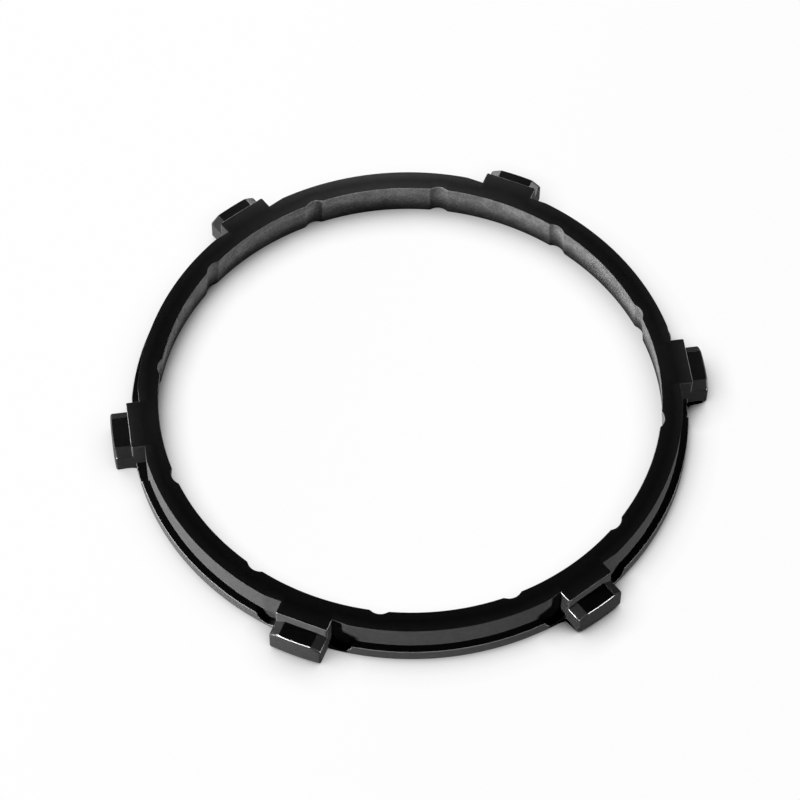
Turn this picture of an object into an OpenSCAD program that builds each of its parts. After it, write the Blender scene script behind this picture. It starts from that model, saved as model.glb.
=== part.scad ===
// Synchronizer ring of a truck gearbox, one piece of blackened steel.
// Frame: origin on the ring's axis in its base plane, +Z along the axis towards the lugs' blocking faces,
// one lug on the +X axis. Millimetres and degrees.

/* [Ring] */
// diameter of the friction cone in the top face
cone_top_d = 160; // [120:0.5:200]
// angle between the friction cone and the axis, the wide end is at the base
cone_angle = 5; // [3:0.25:7]
// height of the ring over everything
ring_h = 13.2; // [12:0.1:18]
// thickness of the body in the top face, from the friction cone to the step wall
body_wall = 6.75; // [5.5:0.05:9]
// distance by which the flange stands out from the body
flange_out = 2.45; // [1.5:0.05:4]
// height of the flange
flange_h = 4.5; // [3:0.1:7]
// width of the chamfer that breaks each turned edge
edge_break = 0.3; // [0.3:0.05:0.6]

/* [Lugs] */
// number of lugs round the ring, each stands midway between two oil grooves
lug_count = 6; // [3:1:8]
// width of a lug across its two flat flanks
lug_w = 17.2; // [13:0.1:22]
// distance from the flange's outer face to the outer face of a lug
lug_out = 6.4; // [4:0.1:10]
// distance from the flange's outer face to the step that ends the full height part of a lug
lug_step_out = 0.7; // [0.3:0.05:2.5]
// height of the lowered flat on a lug above the base plane
lug_flat_z = 9.6; // [7.5:0.1:11]
// width of each blocking chamfer, from the flat to the flank
blocking_w = 3.2; // [1.5:0.1:5]
// slope of the blocking chamfers against the flat
blocking_angle = 30; // [20:1:42]
// height of a lug's underside above the base plane
lug_base_z = 0.8; // [0.3:0.1:2]
// width of the chamfer on a lug's edges
lug_edge = 0.6; // [0.2:0.05:0.8]

/* [Reliefs] */
// radius of the round bottomed relief on each side of a lug
relief_r = 3.65; // [2.5:0.05:4.5]
// thickness of the lip that is left under a relief
relief_lip = 1; // [0.6:0.1:2]
// depth of the flat end of a relief behind the step wall
relief_bite = 1.1; // [0.5:0.05:2]
// width of the chamfer on the top edge of that end, smaller than on the turned edges
relief_edge = 0.2; // [0.1:0.05:0.25]

/* [Oil grooves] */
// number of grooves in the friction cone for each lug
grooves_per_lug = 2; // [1:1:3]
// radius of the round bottom of a groove
groove_r = 4.3; // [3:0.1:7]
// depth of a groove square to the friction cone
groove_depth = 1.1; // [0.5:0.05:1.6]

/* [Hidden] */

// facets of a full turn, of the round edges that go all the way and of the small cutters
turn_fn = 180;
cutter_fn = 48;

// length by which a cutter runs past the face it opens
over = 2;
// depth to which a relief's wall lies behind the lug's flank, so that the two surfaces cross
flank_lap = 0.05;

cone_top_r = cone_top_d / 2;
cone_base_r = cone_top_r + ring_h * tan(cone_angle);
body_r = cone_top_r + body_wall;
flange_r = body_r + flange_out;
lug_over_r = flange_r + lug_out;
// length of the friction cone along its slope
cone_len = ring_h / cos(cone_angle);
lug_pitch = 360 / lug_count;
groove_pitch = lug_pitch / grooves_per_lug;

// distances from the axis to the root of a lug inside the ring, to its step and to the flat end of a relief
lug_root_x = (cone_base_r + body_r) / 2;
lug_step_x = flange_r + lug_step_out;
relief_x = body_r - relief_bite;
flank_y = lug_w / 2;
// break on the upright corners of the step, a little less than on a lug's other edges
step_corner = 0.75 * lug_edge;
// where the flank meets the outer face, seen from above
lug_corner_x = sqrt(lug_over_r * lug_over_r - flank_y * flank_y);
// centre of a relief's round bottom
relief_y = flank_y + relief_r - flank_lap;
relief_z = relief_lip + relief_r;

// Radius of the friction cone at a height above the base.
function cone_r(z) = cone_top_r + (ring_h - z) * tan(cone_angle);

// Turned section of the ring: base, flange, step wall, top face and friction cone, every edge broken.
module ring_section() {
    polygon([
        [cone_r(edge_break) + edge_break, 0],
        [flange_r - edge_break, 0],
        [flange_r, edge_break],
        [flange_r, flange_h - edge_break],
        [flange_r - edge_break, flange_h],
        [body_r, flange_h],
        [body_r, ring_h - edge_break],
        [body_r - edge_break, ring_h],
        [cone_r(ring_h - edge_break) + edge_break, ring_h],
        [cone_r(ring_h - edge_break), ring_h - edge_break],
        [cone_r(edge_break), edge_break]
    ]);
}

// Section of one relief, seen along the lug's radius: a round bottom that is open towards the top.
module relief_section() {
    translate([relief_y, relief_z])
        circle(r = relief_r, $fn = cutter_fn);
    translate([relief_y - relief_r, relief_z])
        square([2 * relief_r, ring_h - relief_z + over]);
}

// The pair of reliefs beside a lug, milled from outside to a flat end, with the top edge of that end broken.
module relief_pair() {
    for (side = [0, 1])
        mirror([0, side, 0]) {
            translate([relief_x, 0, 0])
                rotate([90, 0, 90])
                    linear_extrude(flange_r - relief_x + over)
                        relief_section();
            translate([0, relief_y + relief_r, 0])
                rotate([90, 0, 0])
                    linear_extrude(2 * relief_r)
                        polygon([
                            [relief_x - relief_edge - over, ring_h + over],
                            [relief_x + over, ring_h - relief_edge - over],
                            [relief_x + over, ring_h + over]
                        ]);
        }
}

// Outline of a lug from above, the two outer corners broken.
module lug_plan() {
    intersection() {
        circle(r = lug_over_r, $fn = turn_fn);
        polygon([
            [lug_root_x, -flank_y],
            [lug_corner_x - lug_edge, -flank_y],
            [lug_corner_x, lug_edge - flank_y],
            [lug_over_r + over, lug_edge - flank_y],
            [lug_over_r + over, flank_y - lug_edge],
            [lug_corner_x, flank_y - lug_edge],
            [lug_corner_x - lug_edge, flank_y],
            [lug_root_x, flank_y]
        ]);
    }
}

// Outline of a lug's full height part along the radius, its lower and upper corners broken.
module lug_front() {
    polygon([
        [lug_edge - flank_y, lug_base_z],
        [flank_y - lug_edge, lug_base_z],
        [flank_y, lug_base_z + lug_edge],
        [flank_y, ring_h - lug_edge],
        [flank_y - lug_edge, ring_h],
        [lug_edge - flank_y, ring_h],
        [-flank_y, ring_h - lug_edge],
        [-flank_y, lug_base_z + lug_edge]
    ]);
}

// Space over the lowered part of a lug: the flat, the blocking chamfers and the broken edge at each flank.
module blocking_front() {
    flat_y = flank_y - blocking_w;
    edge_y = flank_y - lug_edge;
    edge_z = lug_flat_z - (edge_y - flat_y) * tan(blocking_angle);
    flank_z = edge_z - lug_edge * tan((90 + blocking_angle) / 2);
    out_z = flank_z - over * tan((90 + blocking_angle) / 2);
    polygon([
        [-flank_y - over, out_z],
        [-edge_y, edge_z],
        [-flat_y, lug_flat_z],
        [flat_y, lug_flat_z],
        [edge_y, edge_z],
        [flank_y + over, out_z],
        [flank_y + over, ring_h + over],
        [-flank_y - over, ring_h + over]
    ]);
}

// The upright corners of the step, down to the blocking chamfers.
module step_corners() {
    intersection() {
        translate([lug_step_x - over, 0, 0])
            rotate([90, 0, 90])
                linear_extrude(2 * over)
                    blocking_front();
        for (side = [-1, 1])
            translate([lug_step_x, side * flank_y, 0])
                rotate(45)
                    linear_extrude(ring_h + over)
                        square(sqrt(2) * step_corner, center = true);
    }
}

// One lug on the +X axis: a block as high as the ring, a step, and a lower block with the blocking chamfers.
module lug() {
    difference() {
        intersection() {
            linear_extrude(ring_h + over)
                lug_plan();
            rotate([90, 0, 90])
                linear_extrude(lug_over_r + over)
                    lug_front();
        }
        translate([lug_step_x, 0, 0])
            rotate([90, 0, 90])
                linear_extrude(lug_over_r)
                    blocking_front();
        step_corners();
        // broken upper edge of the step
        translate([0, lug_w, 0])
            rotate([90, 0, 0])
                linear_extrude(2 * lug_w)
                    polygon([
                        [lug_step_x - edge_break, ring_h],
                        [lug_step_x + over, ring_h - edge_break - over],
                        [lug_step_x + over, ring_h + over],
                        [lug_step_x - edge_break - over, ring_h + over]
                    ]);
        // broken outer edges of the flat and of the underside
        rotate_extrude($fn = turn_fn) {
            polygon([
                [lug_over_r - lug_edge - over, lug_flat_z + over],
                [lug_over_r + over, lug_flat_z - lug_edge - over],
                [lug_over_r + over, lug_flat_z + over]
            ]);
            polygon([
                [lug_over_r - lug_edge - over, lug_base_z - over],
                [lug_over_r + over, lug_base_z - over],
                [lug_over_r + over, lug_base_z + lug_edge + over]
            ]);
        }
    }
}

// One oil groove on the +X axis, of even depth along the friction cone.
module oil_groove() {
    translate([cone_top_r + groove_depth / cos(cone_angle), 0, ring_h])
        rotate([0, -cone_angle, 0])
            translate([-groove_r, 0, -cone_len - over])
                cylinder(r = groove_r, h = cone_len + 2 * over, $fn = cutter_fn);
}

// The whole ring in one piece.
module synchronizer_ring() {
    color([0.11, 0.11, 0.12])
        difference() {
            union() {
                difference() {
                    rotate_extrude($fn = turn_fn)
                        ring_section();
                    for (i = [0 : lug_count - 1])
                        rotate([0, 0, i * lug_pitch])
                            relief_pair();
                }
                for (i = [0 : lug_count - 1])
                    rotate([0, 0, i * lug_pitch])
                        lug();
            }
            for (i = [0 : lug_count * grooves_per_lug - 1])
                rotate([0, 0, (i + 0.5) * groove_pitch])
                    oil_groove();
        }
}

synchronizer_ring();
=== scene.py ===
# %% [markdown]
# # A synchronizer ring, surface by surface
# The object is one piece of blackened steel: a flat ring that was turned on a lathe, with milled lugs on
# its rim and shallow oil grooves in its tapered bore. The frame holds its exact solid. Here the same form
# is drawn again as one smooth skin, because the solid has only flat chamfers on its edges, and the small
# round edges are what catches the light on a dark, oily part.

# %% Load the frame
import math

import bpy
import numpy as np
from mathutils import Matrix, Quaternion, Vector


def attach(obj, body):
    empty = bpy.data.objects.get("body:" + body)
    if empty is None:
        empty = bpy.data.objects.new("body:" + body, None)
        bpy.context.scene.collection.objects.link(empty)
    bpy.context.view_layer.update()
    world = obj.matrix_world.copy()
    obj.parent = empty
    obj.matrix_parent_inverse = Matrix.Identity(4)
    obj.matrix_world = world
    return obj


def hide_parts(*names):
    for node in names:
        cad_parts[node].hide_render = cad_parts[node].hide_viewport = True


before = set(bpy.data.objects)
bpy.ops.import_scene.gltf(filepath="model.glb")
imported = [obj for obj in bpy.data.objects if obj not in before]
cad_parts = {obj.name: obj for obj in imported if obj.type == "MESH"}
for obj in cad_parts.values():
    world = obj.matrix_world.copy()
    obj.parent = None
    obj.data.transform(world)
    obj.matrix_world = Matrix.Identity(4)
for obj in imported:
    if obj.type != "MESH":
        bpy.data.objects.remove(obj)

scene = bpy.context.scene
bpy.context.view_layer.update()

# %% [markdown]
# ## The camera
# The ring was photographed from about a metre away with a long lens, looking down at 57 degrees. A camera
# can be moved by hand until the picture fits, but on a ring the eye is easily fooled, so its place was
# worked out from the way the circles flatten and shrink towards the back. A camera looks along its own -Z
# axis, so it can be turned with a track quaternion, plus a small roll.

# %% Camera
camera_spot = Vector((-0.09951, -0.62693, 0.99918))
camera_aim = Vector((-0.00232, 0.00606, 0.0))
camera_roll = math.radians(0.755)
camera_data = bpy.data.cameras.new("photo_camera")
camera_data.sensor_width = 36.0
camera_data.lens = 165.95
camera_data.clip_start = 0.01
camera = bpy.data.objects.new("photo_camera", camera_data)
scene.collection.objects.link(camera)
turn_to_ring = (camera_aim - camera_spot).to_track_quat("-Z", "Y")
camera.rotation_mode = "QUATERNION"
camera.rotation_quaternion = turn_to_ring @ Quaternion((0.0, 0.0, 1.0), camera_roll)
camera.location = camera_spot
scene.camera = camera
print("camera is", round((camera_aim - camera_spot).length, 3), "m from the ring's middle")

# %% [markdown]
# ## Sizes
# All sizes of the ring are in millimetres, as on a workshop drawing, and become metres at the very end.
# A lug lies on the +X axis, so u is the distance from the axis along a lug's middle line and v the
# distance to the side of that line. The values could be read off the solid's mesh, but named numbers show
# what each surface depends on.

# %% Sizes of the ring
MM = 0.001
lug_count, half_pitch = 6, math.radians(30.0)
cone_top_r, cone_slope, ring_h = 80.0, math.tan(math.radians(5.0)), 13.2
body_r, flange_r, flange_h = 86.75, 89.2, 4.5
lug_over_r, lug_step_u, flank_v = 95.6, 89.9, 8.6
lug_base_z, lug_flat_z, flat_v, blocking_slope = 0.8, 9.6, 5.4, math.tan(math.radians(30.0))
relief_u, relief_r, relief_v, relief_z = 85.65, 3.65, 12.2, 4.65
groove_r, groove_depth, groove_angle = 4.3, 1.1, math.radians(15.0)
print("ring of", 2 * lug_over_r, "mm over the lugs,", ring_h, "mm high")

# %% [markdown]
# ## Round edges
# No machined edge is perfectly sharp: a file, a brush or the tumbling drum takes a little off. The radius
# decides how broad a white line the edge draws in the light. The lugs' edges were broken most, those that
# come straight from the lathe least. A Bevel modifier could round them all alike, but here every kind of
# edge has its own radius.

# %% Radii of the round edges
corner_r, front_edge = 0.62, 0.7
step_edge, flank_edge, relief_edge, body_edge = 0.12, 0.5, 0.1, 0.06
flange_edge, lip_edge, base_edge, bore_edge = 0.25, 0.2, 0.3, 0.2
shoulder_soft, ridge_soft = 0.16, 0.12
print("edges from", body_edge, "mm on the body to", front_edge, "mm on a lug's front")

# %% [markdown]
# ## One section of the ring
# If a saw cut the ring across, the cut would be a closed loop: out along the base, up the outer wall, in
# over the flange or the lug, up the step wall, in over the top and down the bore. The lugs and cuts could
# be made with Boolean modifiers, but those leave ragged faces along every cut, and such edges are hard to
# round. So every loop gets the same number of points in the same order, whatever it passes, and
# neighbouring loops can be joined by plain four sided faces. Where a lug stands, the same points simply
# reach further out.

# %% Helpers for points
quarter_3 = np.radians([30.0, 60.0, 90.0])
quarter_4 = np.radians([22.5, 45.0, 67.5, 90.0])


def circle_uv(r, v):
    """Points of a circle of radius r about the axis at side distance v: u is the square root of r*r - v*v."""
    return np.stack([np.sqrt(r * r - v * v), v], axis=-1)


def polar_uv(r, angle):
    """Points at radius r and angle: u = r cos(angle), v = r sin(angle)."""
    return np.stack([r * np.cos(angle), r * np.sin(angle)], axis=-1)


def unit(uv):
    """Each plan vector divided by its length."""
    return uv / np.linalg.norm(uv, axis=-1, keepdims=True)


def col(a):
    """A one dimensional array as a column."""
    return np.asarray(a, float)[:, None]


def at(uv, z):
    """Plan points with a height, as rows of u, v, z."""
    z = np.broadcast_to(np.asarray(z, float), uv.shape[:1])
    return np.concatenate([uv, z[:, None]], axis=1)


print("flank meets the flange at u, v =", circle_uv(flange_r, np.array([flank_v])).round(2).tolist()[0])

# %% [markdown]
# The bore is a cone that grips the gear beside it, and its oil grooves wipe the oil away. A groove could be
# cut out with a cylinder. Here it is part of the formula for the bore's radius, so the bore stays one even
# grid and the groove's shoulders can be softened a little, as wear softens them.

# %% Radius of the bore
def bore_r(z, angle):
    """Radius of the tapered bore: the cone grows towards the base, and an oil groove, a circle of radius
    groove_r sunk groove_depth deep, is added to it by a soft maximum that rounds the groove's shoulders."""
    cone = cone_top_r + (ring_h - z) * cone_slope
    side = cone * np.sin(angle - groove_angle)
    sunk = np.sqrt(np.maximum(groove_r ** 2 - side ** 2, 0.0)) - (groove_r - groove_depth)
    return cone + 0.5 * (sunk + np.sqrt(sunk ** 2 + shoulder_soft ** 2)) * (np.abs(side) < groove_r)


print("bore radius in the top face, and in a groove:",
      [round(float(bore_r(ring_h, angle)), 2) for angle in (0.0, groove_angle)], "mm")

# %% [markdown]
# The next functions write parts of the loop for many stations at once. Each argument is an array with one
# entry for each station: where the upper wall stands in plan and which way it faces, where the outer wall
# stands, how high the shelf between them lies, and the radii of the small round edges. First comes the
# outside, from the base up to the shelf.

# %% Base and outer wall
wall_parts = (0.1, 0.22, 0.34, 0.44, 0.54, 0.64, 0.82, 1.0)


def base_points(foot, bore_angle):
    """Points out along the base and round its outer edge, a quarter circle that lies
    base_edge*(1 - sin a) inside the wall and base_edge*(1 - cos a) above the base."""
    foot_n = unit(foot)
    bore_base = bore_r(base_edge, bore_angle) + bore_edge
    line = [at(polar_uv(bore_base, bore_angle), 0.0), at(foot - base_edge * foot_n, 0.0)]
    for a in quarter_3:
        line.append(at(foot - base_edge * (1 - np.sin(a)) * foot_n, base_edge * (1 - np.cos(a))))
    return line


def outer_points(is_lug, outer, outer_n, outer_edge, foot, shelf_out, under_z):
    """Eight points up the outside: on the rim straight up the wall, and on a lug out along the underside,
    round a quarter circle of outer_edge and up the front."""
    wall_top = shelf_out - outer_edge
    wall = [at(outer, base_edge + w * (wall_top - base_edge)) for w in wall_parts]
    tip = outer - col(outer_edge) * outer_n
    front = [at(foot, under_z), at(0.5 * (foot + tip), under_z), at(tip, under_z)]
    for a in quarter_3:
        inset, rise = outer_edge * (1 - np.sin(a)), outer_edge * (1 - np.cos(a))
        front.append(at(outer - col(inset) * outer_n, under_z + rise))
    front.append(at(outer, 0.5 * (under_z + outer_edge + wall_top)))
    front.append(at(outer, wall_top))
    return [np.where(col(is_lug) > 0, on_front, on_wall) for on_wall, on_front in zip(wall, front)]


print("base:", 2 + len(quarter_3), "points, outer wall:", len(wall_parts), "points")

# %% [markdown]
# Then come the shelf and the upper wall. The same quarter circle rounds the edge of the shelf and, further
# up, the edge of the top.

# %% Shelf and upper wall
def edge_points(face, face_n, edge, top):
    """A quarter circle from an upright face to a level one: it lies edge*(1 - cos a) inside the face and
    edge*(1 - sin a) below the top."""
    return [at(face - col(edge * (1 - np.cos(a))) * face_n, top - edge * (1 - np.sin(a))) for a in quarter_4]


def shelf_points(tip, upper, upper_edge, shelf_in, shelf_out):
    """Points on straight lines: in over the shelf to the foot of the upper wall, then up that wall."""
    line = [at(tip + w * (upper - tip), shelf_out + w * (shelf_in - shelf_out)) for w in (1 / 3, 2 / 3, 1.0)]
    return line + [at(upper, shelf_in + w * (ring_h - upper_edge - shelf_in)) for w in (0.5, 1.0)]


print("round edge:", len(quarter_4), "points")

# %% [markdown]
# The loop ends with the top and the bore, and comes back to its first point at the base.

# %% Top and bore
def top_and_bore_points(top_end, bore_angle):
    """Points in over the top, round its inner edge, down the bore along bore_r and round the base's edge.
    Both edges are quarter arcs of width bore_edge."""
    bore_top = bore_r(ring_h - bore_edge, bore_angle) + bore_edge
    bore_base = bore_r(base_edge, bore_angle) + bore_edge
    brim = polar_uv(bore_top, bore_angle)
    line = [at(0.5 * (top_end + brim), ring_h), at(brim, ring_h)]
    for a in quarter_3:
        line.append(at(polar_uv(bore_top - bore_edge * np.sin(a), bore_angle),
                       ring_h - bore_edge * (1 - np.cos(a))))
    for w in (0.2, 0.4, 0.6, 0.8, 1.0):
        z = ring_h - bore_edge + w * (base_edge - ring_h + bore_edge)
        line.append(at(polar_uv(bore_r(z, bore_angle), bore_angle), z))
    for a in quarter_3[:2]:
        line.append(at(polar_uv(bore_base - bore_edge * np.cos(a), bore_angle), base_edge * (1 - np.sin(a))))
    return line


print("top and bore:", len(top_and_bore_points(polar_uv(body_r, np.zeros(1)), np.zeros(1))), "points")

# %% The whole section
def section_loops(is_lug, upper, upper_n, upper_edge, outer, outer_n, outer_edge,
                  foot, shelf_in, shelf_out, under_z, bore_angle):
    """Closed loops of the section, one row for each station: all the parts above, one after the other."""
    loop = base_points(foot, bore_angle)
    loop += outer_points(is_lug, outer, outer_n, outer_edge, foot, shelf_out, under_z)
    loop += edge_points(outer, outer_n, outer_edge, shelf_out)
    loop += shelf_points(outer - col(outer_edge) * outer_n, upper, upper_edge, shelf_in, shelf_out)
    loop += edge_points(upper, upper_n, upper_edge, ring_h)
    loop += top_and_bore_points(upper - col(upper_edge) * upper_n, bore_angle)
    return np.stack(loop, axis=1)


print("section: base, outer wall, round edge, shelf and upper wall, round edge, top and bore")

# %% [markdown]
# ## Stations on a lug
# A lug drives the ring round in a slot of its hub, and its blocking chamfers stop the sleeve until the gear
# turns as fast as the shaft. It could be a block with bevels, joined to the ring. Here it is a stretch of
# stations, so that it grows out of the ring without a seam. They run from the middle of the lug outwards.
# The lowered part has a flat roof that falls away to each side. Close to the flank the loop shrinks a
# little while it moves the last step sideways, as a quarter circle does, and that rounds every edge of the
# flank at once.

# %% Height of a lug's roof
def roof_z(v):
    """Height of a lug's roof: level, then falling at the blocking slope past flat_v with a softened ridge,
    then a quarter circle of corner_r down to the flank."""
    past = v - flat_v
    slope = lug_flat_z - blocking_slope * 0.5 * (past + np.sqrt(past ** 2 + ridge_soft ** 2))
    centre_v = flank_v - corner_r
    lean = math.atan(blocking_slope)
    centre_z = lug_flat_z - blocking_slope * (centre_v - flat_v) - corner_r / math.cos(lean)
    arc = centre_z + np.sqrt(np.maximum(corner_r ** 2 - (v - centre_v) ** 2, 0.0))
    return np.where(v > centre_v + corner_r * math.sin(lean), arc, slope)


print("roof falls from", lug_flat_z, "to", round(float(roof_z(flank_v)), 2), "mm at the flank")

# %% Lug stations
foot_lead = 0.3
lug_bore_angle = np.radians(4.5)
lug_v = np.array([0.0, 1.4, 2.8, 4.0, 4.9, 5.28, 5.4, 5.52, 6.1, 6.9, 7.6])
corner_turn = np.radians([0.0, 16.0, 30.0, 48.0, 68.0, 90.0])
v = np.concatenate([lug_v, flank_v - corner_r * (1 - np.sin(corner_turn))])
turn = np.concatenate([np.zeros(len(lug_v)), corner_turn])
drawn_in = corner_r * (1 - np.cos(turn))
outer = circle_uv(lug_over_r, v)
outer[:, 0] -= drawn_in
lug_loops = section_loops(
    is_lug=np.ones(len(v)),
    upper=np.stack([lug_step_u - drawn_in, v], axis=-1),
    upper_n=np.stack([np.cos(turn), np.sin(turn)], axis=-1),
    upper_edge=step_edge + (flank_edge - step_edge) * np.sin(turn) ** 2,
    outer=outer,
    outer_n=np.tile([1.0, 0.0], (len(v), 1)),
    outer_edge=front_edge - drawn_in,
    foot=circle_uv(flange_r, v * (1 - foot_lead / flank_v)),
    shelf_in=roof_z(v),
    shelf_out=roof_z(v),
    under_z=lug_base_z + drawn_in,
    bore_angle=lug_bore_angle * v / flank_v,
)
print("lug:", lug_loops.shape[0], "loops of", lug_loops.shape[1], "points")

# %% [markdown]
# ## Stations in the relief
# Beside each lug a round nosed cutter took away the flange and a little of the step wall, so that the hub
# meets no corner there. A Boolean cut would leave thin triangles in its round floor. Instead the floor gives
# the stations: they follow the cutter's circle by angle, so they lie close together where the floor is
# steep. At the far side a low wall leads back up to the top of the flange.

# %% Floor of the relief
body_meets_v = math.sqrt(body_r ** 2 - relief_u ** 2)
first = math.degrees(math.acos((relief_v - flank_v) / relief_r))
leaves = math.degrees(math.acos((relief_v - body_meets_v) / relief_r))
ends = 180.0 - math.degrees(math.asin((relief_z - flange_h + flange_edge) / relief_r))
cut = np.radians([first, 16.0, 25.0, 36.0, 50.0, 66.0, 84.0, 100.0, leaves, 132.0, 148.0, 162.0, ends])
round_over = flange_edge * np.array([0.3, 1.0])
cut_v = relief_v - relief_r * np.cos(cut)
v = np.concatenate([cut_v, cut_v[-1] + round_over])
floor_z = np.concatenate([relief_z - relief_r * np.sin(cut), [flange_h - round_over[0], flange_h]])
print("relief is cut down to", round(float(floor_z.min()), 2), "mm above the base")

# %% Relief stations
relief_bore_start, relief_bore_span = np.radians(6.4), np.radians(4.7)
on_body = v > body_meets_v + 0.001
upper = circle_uv(body_r, v)
upper[:, 0] = np.minimum(upper[:, 0], relief_u)
upper_n = np.where(col(on_body) > 0, unit(upper), [1.0, 0.0])
upper_edge = np.where(on_body, body_edge, relief_edge)
# the first loop is shared with the flank, whose top edge is broader
upper_n[0] = (relief_edge / flank_edge, 1.0)
upper_edge[0] = flank_edge
part = np.linspace(0.0, 1.0, len(v))
relief_loops = section_loops(
    is_lug=np.zeros(len(v)),
    upper=upper,
    upper_n=upper_n,
    upper_edge=upper_edge,
    outer=circle_uv(flange_r, v),
    outer_n=unit(circle_uv(flange_r, v)),
    outer_edge=np.full(len(v), lip_edge),
    foot=circle_uv(flange_r, v + foot_lead * (1 - part)),
    shelf_in=floor_z,
    shelf_out=floor_z,
    under_z=np.zeros(len(v)),
    bore_angle=relief_bore_start + relief_bore_span * part,
)
print("relief:", relief_loops.shape[0], "loops")

# %% [markdown]
# ## Stations on the plain rim
# Between the reliefs the section is the turned one, a body with a flange. A Screw modifier could spin it,
# but the oil groove needs stations of its own. They stand on radii of the ring, close together at the
# groove and wider apart where nothing happens.

# %% Rim stations
groove_sides = np.array([3.7, 3.25, 3.0, 2.87, 2.72, 2.4, 1.8, 1.1, 0.5]) / cone_top_r
rim = np.concatenate([
    np.radians([11.3, 11.8]), groove_angle - groove_sides, [groove_angle], groove_angle + groove_sides[::-1],
    np.radians([18.4, 20.0, 22.0, 24.0, 26.0, 28.0, 30.0])])
ones = np.ones(len(rim))
radius_out = polar_uv(1.0, rim)
rim_loops = section_loops(
    is_lug=0 * ones,
    upper=body_r * radius_out,
    upper_n=radius_out,
    upper_edge=body_edge * ones,
    outer=flange_r * radius_out,
    outer_n=radius_out,
    outer_edge=flange_edge * ones,
    foot=flange_r * radius_out,
    shelf_in=flange_h * ones,
    shelf_out=flange_h * ones,
    under_z=0 * ones,
    bore_angle=rim,
)
print("rim:", rim_loops.shape[0], "loops")

# %% [markdown]
# ## The flank and the whole ring
# The flank of a lug is a flat wall between the lug's last loop and the relief's first one. Both lie in the
# same plane, so a few loops blended from one to the other fill it without a fold. The half pitch is then
# mirrored and turned round the axis. Mirror and Array modifiers could do that too, but in numpy the last
# loop joins the first without merging: the skin is closed like a tyre.

# %% Loops of the whole ring
def blended(a, b, steps):
    """Loops at even parts of the way from loop a to loop b, both ends left out."""
    w = np.linspace(0.0, 1.0, steps + 2)[1:-1, None, None]
    return a + w * (b - a)


flank_loops = blended(lug_loops[-1], relief_loops[0], 4)
half = np.concatenate([lug_loops, flank_loops, relief_loops, rim_loops])
mirrored = half[:0:-1] * [1.0, -1.0, 1.0]
sector = np.concatenate([mirrored, half[:-1]])
angles = np.arange(lug_count) * 2 * half_pitch
c, s = np.cos(angles)[:, None, None], np.sin(angles)[:, None, None]
u, w, z = sector[None, :, :, 0], sector[None, :, :, 1], sector[None, :, :, 2]
skin = np.stack([c * u - s * w, s * u + c * w, z + 0 * c], axis=-1)
skin = skin.reshape(-1, half.shape[1], 3) * MM
loops, points = skin.shape[:2]
print("ring:", loops, "loops of", points, "points")

# %% One closed skin
i, j = np.meshgrid(np.arange(loops), np.arange(points), indexing="ij")
ahead, along = (i + 1) % loops, (j + 1) % points
quads = np.stack([i * points + j, ahead * points + j, ahead * points + along, i * points + along], axis=-1)
quads = quads.reshape(-1, 4)

ring_mesh = bpy.data.meshes.new("synchronizer_ring_skin")
ring_mesh.from_pydata(skin.reshape(-1, 3).tolist(), [], quads.tolist())
ring_mesh.update()
ring = bpy.data.objects.new("synchronizer_ring_skin", ring_mesh)
scene.collection.objects.link(ring)

corner = skin.reshape(-1, 3)[quads]
volume = np.einsum("ij,ij->i", np.cross(corner[:, 0], corner[:, 1]), corner[:, 2]).sum() / 6
volume += np.einsum("ij,ij->i", np.cross(corner[:, 0], corner[:, 2]), corner[:, 3]).sum() / 6
print("skin:", len(quads), "faces around", round(volume * 1e9, 1), "cubic millimetres")

# %% [markdown]
# ## Shading of the skin
# Every face is shaded smooth so that the round edges look round. Inner corners stay sharp, because a
# milling cutter leaves them sharp. More faces in each edge would help as well, but the Weighted Normal
# modifier does it with few: it lets the big flat faces decide the normals that they share with the narrow
# edge faces, so the flats stay flat.

# %% Smooth shading
sharp_angle = math.radians(34.0)
ring_mesh.polygons.foreach_set("use_smooth", np.ones(len(quads), dtype=bool))
ring_mesh.set_sharp_from_angle(angle=sharp_angle)
weighted = ring.modifiers.new("flat faces lead", "WEIGHTED_NORMAL")
weighted.mode = "FACE_AREA"
weighted.weight = 80
weighted.keep_sharp = True
ring_mesh.update()
print("corners sharper than", round(math.degrees(sharp_angle)), "degrees stay sharp")

# %% [markdown]
# ## Finding the faces
# Each face lies between two neighbouring points of the section and between two neighbouring stations. Its
# points, here called its column, tell whether it is on the rim, the shelf, the wall, the top or the bore.
# Its stations tell whether it belongs to a lug, its flank, the relief or the plain rim. The faces could be
# picked by hand, but that would have to be done again after every change of shape.

# %% Columns and kinds of faces
rim_columns, rim_edge_columns, shelf_columns = range(4, 12), range(12, 16), range(16, 19)
wall_columns, top_edge_columns, bore_columns = range(19, 21), range(21, 25), range(27, points)
outer_top_column, inner_top_column = 25, 26

face_loop, face_column = np.divmod(quads[:, 0], points)
kind_half = np.repeat([0, 1, 2, 3], [len(lug_loops), len(flank_loops), len(relief_loops), len(rim_loops)])
kind = np.tile(np.concatenate([kind_half[:0:-1], kind_half[:-1]]), lug_count)
here, there = kind[face_loop], kind[(face_loop + 1) % loops]
on_lug = (here == 0) & (there == 0)
on_flank = (here == 1) | (there == 1)
on_turned = ~on_lug & ~on_flank
in_bore = face_column >= bore_columns[0]

facing = np.empty(3 * len(quads))
ring_mesh.polygons.foreach_get("normal", facing)
up = facing.reshape(-1, 3)[:, 2]
is_level = up > 0.97
side = np.abs(np.tile(sector[:, top_edge_columns[0], 1], lug_count)[face_loop])
step_line = np.isin(face_column, top_edge_columns) & on_lug & (side < flank_v - corner_r)
print("faces on lugs and flanks:", int(on_lug.sum()), int(on_flank.sum()), "in the bore:", int(in_bore.sum()))

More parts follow.
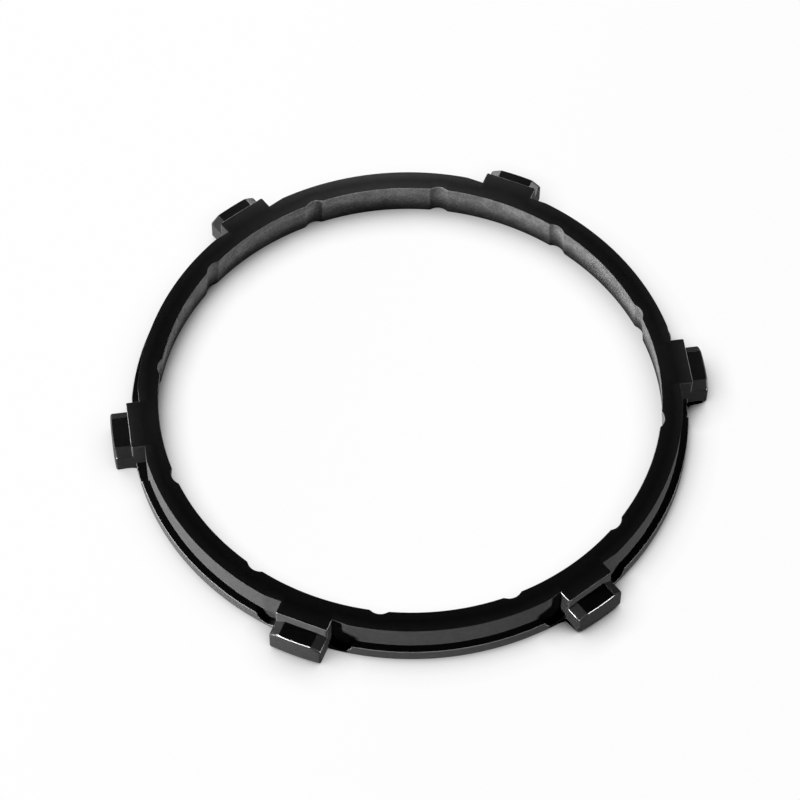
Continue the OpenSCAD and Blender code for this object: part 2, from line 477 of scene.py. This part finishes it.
# %% [markdown]
# ## Finishes of the steel, and painted light
# The steel was blackened in a hot bath and oiled. How dark it came out depends partly on the tool that cut
# the face: the milled fronts and flanks of the lugs are a little lighter than black, and the turned walls
# keep a grey grain. The level faces, the lugs' flats, the flange's top and the reliefs' floors are painted
# near black, partly for the deep black of ground faces and partly as painted shade, since little light falls
# on faces turned up. The lugs' chamfers are painted between the two, darker than their flanks, as painted
# shade too. The round edges of the flange and of the lugs' steps are painted lighter as a painted highlight
# line, and the top face is painted lighter towards its two borders as a painted sheen. Each of these could
# be a material of its own. One number for each corner of a face is shorter: it is stored as an attribute,
# blends across the face, and the shader reads it back.

# %% A tone for each face
# painted shade in the tones: the level tone paints faces turned up and the reliefs' floors near black, partly
# ground finish and partly painted shade; the chamfer tone is painted shade on the lugs' chamfers
# the edge tone is a painted highlight line on round edges
level_black_and_shade_tone, chamfer_shade_tone, milled_tone, turned_tone, painted_highlight_tone = 0.0042, 0.017, 0.027, 0.043, 0.12
# painted sheen: factors that paint the top face lighter towards its outer and inner borders
outer_border_sheen, inner_border_sheen = 2.0, 1.5

tone = np.full(len(quads), milled_tone)
tone[np.isin(face_column, wall_columns) & ~on_flank] = turned_tone
tone[np.isin(face_column, rim_columns) & on_turned] = turned_tone
# painted highlight: the flange's round edge and the reliefs' lips are painted lighter
tone[np.isin(face_column, rim_edge_columns) & on_turned] = painted_highlight_tone
# painted shade: the flange's top and the reliefs' floors are painted near black
tone[np.isin(face_column, shelf_columns) & on_turned] = level_black_and_shade_tone
# painted shade on the lugs' chamfers, turned up towards the light
tone[np.isin(face_column, shelf_columns) & on_lug & (up > 0.5)] = chamfer_shade_tone
# painted shade on every level face, beside its ground finish
tone[is_level] = level_black_and_shade_tone
# painted highlight line along the lugs' step edges
tone[step_line] = painted_highlight_tone
print("faces by tone:", {float(t): int((tone == t).sum()) for t in np.unique(tone)})

corner_tone = np.repeat(tone[:, None], 4, axis=1)
# painted sheen on the top face's two borders
corner_tone[is_level & (face_column == outer_top_column), :2] *= outer_border_sheen
corner_tone[is_level & (face_column == inner_top_column), 2:] *= inner_border_sheen
ring_mesh.attributes.new("finish_and_painted_light", "FLOAT", "CORNER").data.foreach_set("value", corner_tone.ravel())

# %% [markdown]
# ## Nodes
# A material in Blender is a small network of nodes. It can be drawn in the Shader Editor, but written as
# code it can be repeated exactly. A few helpers keep the materials short: first a new material, cloud noise
# and a grey ramp, then a bump, a product and a change of range.

# %% Helpers for a material and its patterns
def new_material(name):
    """A material with a Principled shader, and the object's own coordinates for its patterns."""
    material = bpy.data.materials.new(name)
    material.use_nodes = True
    nodes, links = material.node_tree.nodes, material.node_tree.links
    place = nodes.new("ShaderNodeTexCoord")
    print("material:", name)
    return material, nodes, links, nodes["Principled BSDF"], place.outputs["Object"]


def noise(nodes, links, where, scale, detail, rough):
    """Cloud noise whose lumps are about 1 / scale metres wide."""
    n = nodes.new("ShaderNodeTexNoise")
    n.inputs["Scale"].default_value = scale
    n.inputs["Detail"].default_value = detail
    n.inputs["Roughness"].default_value = rough
    links.new(where, n.inputs["Vector"])
    return n.outputs["Fac"]


def ramp(nodes, links, factor, stops):
    """A colour ramp through grey stops, each a position and a level."""
    r = nodes.new("ShaderNodeValToRGB")
    links.new(factor, r.inputs["Fac"])
    while len(r.color_ramp.elements) < len(stops):
        r.color_ramp.elements.new(0.5)
    for element, (position, level) in zip(r.color_ramp.elements, stops):
        element.position = position
        element.color = (level, level, level, 1.0)
    return r.outputs["Color"]


print("helpers: new material, noise, ramp")

# %% Helpers that work on values
def bump(nodes, links, height, strength, distance):
    """A bump from a height, in metres."""
    b = nodes.new("ShaderNodeBump")
    b.inputs["Strength"].default_value = strength
    b.inputs["Distance"].default_value = distance
    links.new(height, b.inputs["Height"])
    return b.outputs["Normal"]


def times(nodes, links, a, b):
    """The product of two values."""
    m = nodes.new("ShaderNodeMath")
    m.operation = "MULTIPLY"
    links.new(a, m.inputs[0])
    links.new(b, m.inputs[1])
    return m.outputs["Value"]


def map_range(nodes, links, value, low, high, to_low, to_high):
    """A value between low and high mapped to the span from to_low to to_high, cut off at both ends."""
    m = nodes.new("ShaderNodeMapRange")
    for name, number in zip(("From Min", "From Max", "To Min", "To Max"), (low, high, to_low, to_high)):
        m.inputs[name].default_value = number
    links.new(value, m.inputs["Value"])
    return m.outputs["Result"]


print("helpers: bump, product, change of range")

# %% [markdown]
# ## Oily and dry steel
# The lugs keep an oily film that mirrors the lamps in their round edges. The turned walls and the level
# faces are dry and dull, so they stay dark from every side. Both read the same tones. One material with a
# second attribute for the film could do it, but the film's strength is better set straight on the shader,
# so there are two: the dull one simply has no specular layer.

# %% Blackened steel, oily and dry
mottle_scale, grain_scale = 500.0, 2400.0


def toned(nodes, links, where):
    """The tone of the face, with its painted shade, highlight and sheen, slightly mottled."""
    finish_and_painted_light = nodes.new("ShaderNodeAttribute")
    finish_and_painted_light.attribute_name = "finish_and_painted_light"
    mottle = noise(nodes, links, where, mottle_scale, 3.0, 0.5)
    return times(nodes, links, finish_and_painted_light.outputs["Fac"], ramp(nodes, links, mottle, [(0.3, 0.86), (0.7, 1.0)]))


black, nodes, links, shader, where = new_material("blackened_steel")
shader.inputs["IOR"].default_value = 1.38
grain = noise(nodes, links, where, grain_scale, 3.0, 0.55)
links.new(toned(nodes, links, where), shader.inputs["Base Color"])
links.new(ramp(nodes, links, grain, [(0.3, 0.14), (0.7, 0.18)]), shader.inputs["Roughness"])
links.new(bump(nodes, links, grain, 0.03, 0.00002), shader.inputs["Normal"])

matte, nodes, links, shader, where = new_material("matte_blackened_steel")
shader.inputs["Specular IOR Level"].default_value = 0.0
shader.inputs["Roughness"].default_value = 0.8
links.new(toned(nodes, links, where), shader.inputs["Base Color"])

# %% [markdown]
# ## The friction bore
# The bore carries a dull grey friction layer, speckled where it was sprayed and run in. Its colour is
# painted darker towards the base: painted shade, where the shadow of the ring's walls and the closeness of
# the floor fall. It could be a thin shell of its own, but no edge of it shows. It is a finish on the same
# piece, so the faces of the bore simply take another material, with two sizes of noise for speckles and
# blotches and a ramp over the height that paints the shade.

# %% Friction layer
speckle_scale, blotch_scale = 1300.0, 240.0
# painted shade: the layer's tone falls towards the base, where shadow falls
layer_tones_with_base_shade = [(0.0, 0.014), (0.2, 0.030), (0.5, 0.071), (0.75, 0.096), (0.985, 0.085)]

friction, nodes, links, shader, where = new_material("friction_layer")
shader.inputs["Specular IOR Level"].default_value = 0.0
apart = nodes.new("ShaderNodeSeparateXYZ")
links.new(where, apart.inputs["Vector"])
height = map_range(nodes, links, apart.outputs["Z"], 0.0, ring_h * MM, 0.0, 1.0)
by_height = ramp(nodes, links, height, layer_tones_with_base_shade)
speckle = noise(nodes, links, where, speckle_scale, 5.0, 0.7)
blotch = noise(nodes, links, where, blotch_scale, 3.0, 0.5)
patchy = times(nodes, links, ramp(nodes, links, speckle, [(0.35, 0.5), (0.65, 1.0)]),
               ramp(nodes, links, blotch, [(0.3, 0.6), (0.7, 1.0)]))
links.new(times(nodes, links, by_height, patchy), shader.inputs["Base Color"])
links.new(ramp(nodes, links, speckle, [(0.3, 0.5), (0.7, 0.75)]), shader.inputs["Roughness"])
links.new(bump(nodes, links, speckle, 0.5, 0.00008), shader.inputs["Normal"])

# %% Materials of the faces
is_matte = (face_column >= rim_columns[0]) & (face_column < top_edge_columns[-1]) & on_turned
is_matte |= np.isin(face_column, wall_columns) & on_lug
is_matte |= step_line | is_level & ~in_bore
for material in (black, friction, matte):
    ring_mesh.materials.append(material)
ring_mesh.polygons.foreach_set("material_index", (in_bore + 2 * is_matte).astype(np.int32))
print("friction layer on", int(in_bore.sum()), "faces, no film on", int(is_matte.sum()))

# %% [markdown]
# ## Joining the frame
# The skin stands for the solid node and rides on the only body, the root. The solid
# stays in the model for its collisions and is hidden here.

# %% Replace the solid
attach(ring, "root")
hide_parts("synchronizer_ring")
print(ring.name, "replaces the solid")

# %% [markdown]
# ## The floor
# The ring lies on a bright white sheet. A real lit sheet would throw as much light back at the ring as the
# lamps do, and the dark steel would turn grey. So the sheet glows by itself, and nothing falls on it but
# the ring's own shade, which comes next. Its corners are uneven, so that the line between its two
# triangles doesn't run under the ring.

# %% Floor
reach, uneven = 30.0, 9.0
floor_corners = [(-reach, -reach - uneven, 0.0), (reach, -reach - uneven, 0.0),
                 (reach, reach, 0.0), (-reach, reach, 0.0)]
floor_mesh = bpy.data.meshes.new("floor")
floor_mesh.from_pydata(floor_corners, [], [(0, 1, 2, 3)])
floor = bpy.data.objects.new("floor", floor_mesh)
scene.collection.objects.link(floor)

sheet, nodes, links, shader, where = new_material("pale_sheet")
floor_mesh.materials.append(sheet)
shader.inputs["Base Color"].default_value = (0.0, 0.0, 0.0, 1.0)
shader.inputs["Roughness"].default_value = 1.0
shader.inputs["Specular IOR Level"].default_value = 0.0
print("floor of", 2 * reach, "m")

# %% [markdown]
# ## The contact shade
# A thing that lies on a sheet darkens it where it is close. Soft lamps from above would draw that shade,
# but they would also light the level faces, which are black in the photograph. The Ambient Occlusion node
# gives it without a lamp: it measures how much of the open sky a place on the sheet sees. The shade is
# deeper on the side turned away from the light, outside on the right and inside on the left, so its depth
# follows the place on the sheet.

# %% Contact shade
shade_reach = 0.011
sky_levels = [(0.0, 0.05), (0.49, 0.48), (0.6, 0.66), (0.73, 0.82), (0.91, 0.945), (1.0, 0.986)]
light_direction = (-0.906, 0.423, 0.0)
ring_middle_r, inner_edge_r, outer_edge_r = 0.085, 0.0845, 0.0855
least_depth, most_depth = 0.48, 1.58


def vector_math(operation, value=None):
    """A vector node that works on the place on the sheet, with a fixed second vector where it needs one."""
    v = nodes.new("ShaderNodeVectorMath")
    v.operation = operation
    links.new(where, v.inputs[0])
    if value:
        v.inputs[1].default_value = value
    return v.outputs["Value"]


closeness = nodes.new("ShaderNodeAmbientOcclusion")
closeness.samples = 16
closeness.inputs["Distance"].default_value = shade_reach
open_sky = ramp(nodes, links, closeness.outputs["AO"], sky_levels)

# how far a place lies towards the light, turned round inside the ring, sets the depth of the shade
along_light = vector_math("DOT_PRODUCT", light_direction)
towards_light = map_range(nodes, links, along_light, -ring_middle_r, ring_middle_r, -1.0, 1.0)
outside = map_range(nodes, links, vector_math("LENGTH"), inner_edge_r, outer_edge_r, 1.0, -1.0)
turned_away = times(nodes, links, towards_light, outside)
depth = map_range(nodes, links, turned_away, -1.0, 1.0, least_depth, most_depth)

# the sheet's light is 1 + depth * (open_sky - 1)
covered = nodes.new("ShaderNodeMath")
covered.operation = "SUBTRACT"
links.new(open_sky, covered.inputs[0])
covered.inputs[1].default_value = 1.0
lit = nodes.new("ShaderNodeMath")
lit.operation = "MULTIPLY_ADD"
links.new(covered.outputs["Value"], lit.inputs[0])
links.new(depth, lit.inputs[1])
lit.inputs[2].default_value = 1.0
links.new(lit.outputs["Value"], shader.inputs["Emission Color"])
print("contact shade reaches", 1000 * shade_reach, "mm")

# %% [markdown]
# As in the edited photograph, the sheet is whiter in the picture than it is for the ring. A dimmer sheet
# with a brighter exposure would lift the steel too, so a Light Path node tells the rays apart: the camera
# sees the bright sheet, and the steel feels only a little of it.

# %% Seen or felt
def seen_or_felt(tree, seen, felt):
    """The value seen for rays from the camera and felt for all other rays."""
    path = tree.nodes.new("ShaderNodeLightPath")
    return map_range(tree.nodes, tree.links, path.outputs["Is Camera Ray"], 0.0, 1.0, felt, seen)


sheet_seen, sheet_felt = 1.0, 0.08
links.new(seen_or_felt(sheet.node_tree, sheet_seen, sheet_felt), shader.inputs["Emission Strength"])
print("sheet: seen", sheet_seen, "felt", sheet_felt)

# %% [markdown]
# ## Far lamps
# Soft boxes all round would be the usual studio. They would grey the level faces, so five low lamps skim
# over those and light the upright walls: a wide one far to the left, and two on each side in front. Four
# more take no part in the dull light. They only glint, and draw the white lines on the round edges.

# %% Far lamps
def far_lamp(name, azimuth, elevation, spread, strength, glint):
    """A far lamp of an angular width of spread degrees, seen from the ring at azimuth and elevation."""
    data = bpy.data.lights.new(name, "SUN")
    data.energy = strength
    data.angle = math.radians(spread)
    lamp = bpy.data.objects.new(name, data)
    az, el = math.radians(azimuth), math.radians(elevation)
    towards = Vector((math.cos(el) * math.cos(az), math.cos(el) * math.sin(az), math.sin(el)))
    lamp.rotation_euler = towards.to_track_quat("Z", "Y").to_euler()
    lamp.visible_diffuse = not glint
    lamp.visible_glossy = glint
    scene.collection.objects.link(lamp)


far_lamp("wide_left_lamp", 169.0, 3.5, 14.0, 15.0, glint=False)
far_lamp("left_lamp", 200.0, 4.0, 4.0, 4.0, glint=False)
far_lamp("upper_left_lamp", 200.0, 8.0, 4.0, 3.6, glint=False)
far_lamp("right_lamp", 340.0, 4.0, 4.0, 2.4, glint=False)
far_lamp("upper_right_lamp", 340.0, 8.0, 4.0, 2.6, glint=False)
far_lamp("front_left_glint", 227.0, 26.0, 28.0, 13.0, glint=True)
far_lamp("right_glint", 320.0, 22.0, 28.0, 11.0, glint=True)
far_lamp("far_right_glint", 356.0, 10.0, 14.0, 1.4, glint=True)
far_lamp("back_left_sheen", 147.0, 14.0, 36.0, 0.6, glint=True)

# %% [markdown]
# ## Near panels
# A far lamp lies in the same direction for every lug, so all the lugs would glint alike. A panel close by
# lies in another direction for each, and can be placed for one or two of them. Four dull panels lift the
# far part of the top face, the middle of the bore and the lugs on the left and right. The other four only
# glint, each on the edges of one or two lugs.

# %% Near panels
def near_panel(name, spot, aim, width, height, power, glint):
    """A glowing rectangle at spot that faces aim and shows only in glossy faces, or only in dull ones."""
    data = bpy.data.lights.new(name, "AREA")
    data.shape = "RECTANGLE"
    data.size, data.size_y = width, height
    data.energy = power
    panel = bpy.data.objects.new(name, data)
    panel.location = spot
    panel.rotation_euler = (Vector(spot) - Vector(aim)).to_track_quat("Z", "Y").to_euler()
    panel.visible_camera = False
    panel.visible_diffuse = not glint
    panel.visible_glossy = glint
    scene.collection.objects.link(panel)


near_panel("back_panel", (0.0, 0.104, 0.05), (0.0, 0.0834, 0.0132), 0.075, 0.02, 0.145, glint=False)
near_panel("inner_panel", (0.012, 0.04, 0.04), (0.012, 0.08, 0.012), 0.04, 0.012, 0.027, glint=False)
near_panel("left_lug_panel", (-0.1, 0.0, 0.034), (-0.0926, 0.0, 0.0096), 0.016, 0.016, 0.009, glint=False)
near_panel("right_lug_panel", (0.118, 0.004, 0.03), (0.0926, 0.0, 0.0096), 0.016, 0.016, 0.026, glint=False)
near_panel("back_strip", (0.01, 0.25, 0.055), (0.0, 0.08, 0.01), 0.18, 0.05, 0.11, glint=True)
near_panel("right_panel", (0.205, 0.101, 0.131), (0.045, 0.078, 0.01), 0.05, 0.05, 0.055, glint=True)
near_panel("left_panel", (-0.0887, -0.0829, 0.0531), (0.045, -0.091, 0.0531), 0.05, 0.055, 0.95, glint=True)
near_panel("corner_panel", (-0.338, -0.1245, 0.052), (-0.045, -0.078, 0.01), 0.055, 0.05, 0.52, glint=True)

# %% [markdown]
# ## The room
# The room behind is as white as the sheet in the picture, and almost dark for the steel, by the same trick.

# %% World
room_seen, room_felt = 0.95, 0.008
world = scene.world or bpy.data.worlds.new("studio")
scene.world = world
world.use_nodes = True
background = world.node_tree.nodes["Background"]
background.inputs["Color"].default_value = (1.0, 1.0, 1.0, 1.0)
room_light = seen_or_felt(world.node_tree, room_seen, room_felt)
world.node_tree.links.new(room_light, background.inputs["Strength"])
print("room: seen", room_seen, "felt", room_felt)

# %% [markdown]
# ## Finish
# The picture uses the Standard view, which shows white as white, as a product photograph does.

# %% Finish
scene.view_settings.view_transform = "Standard"
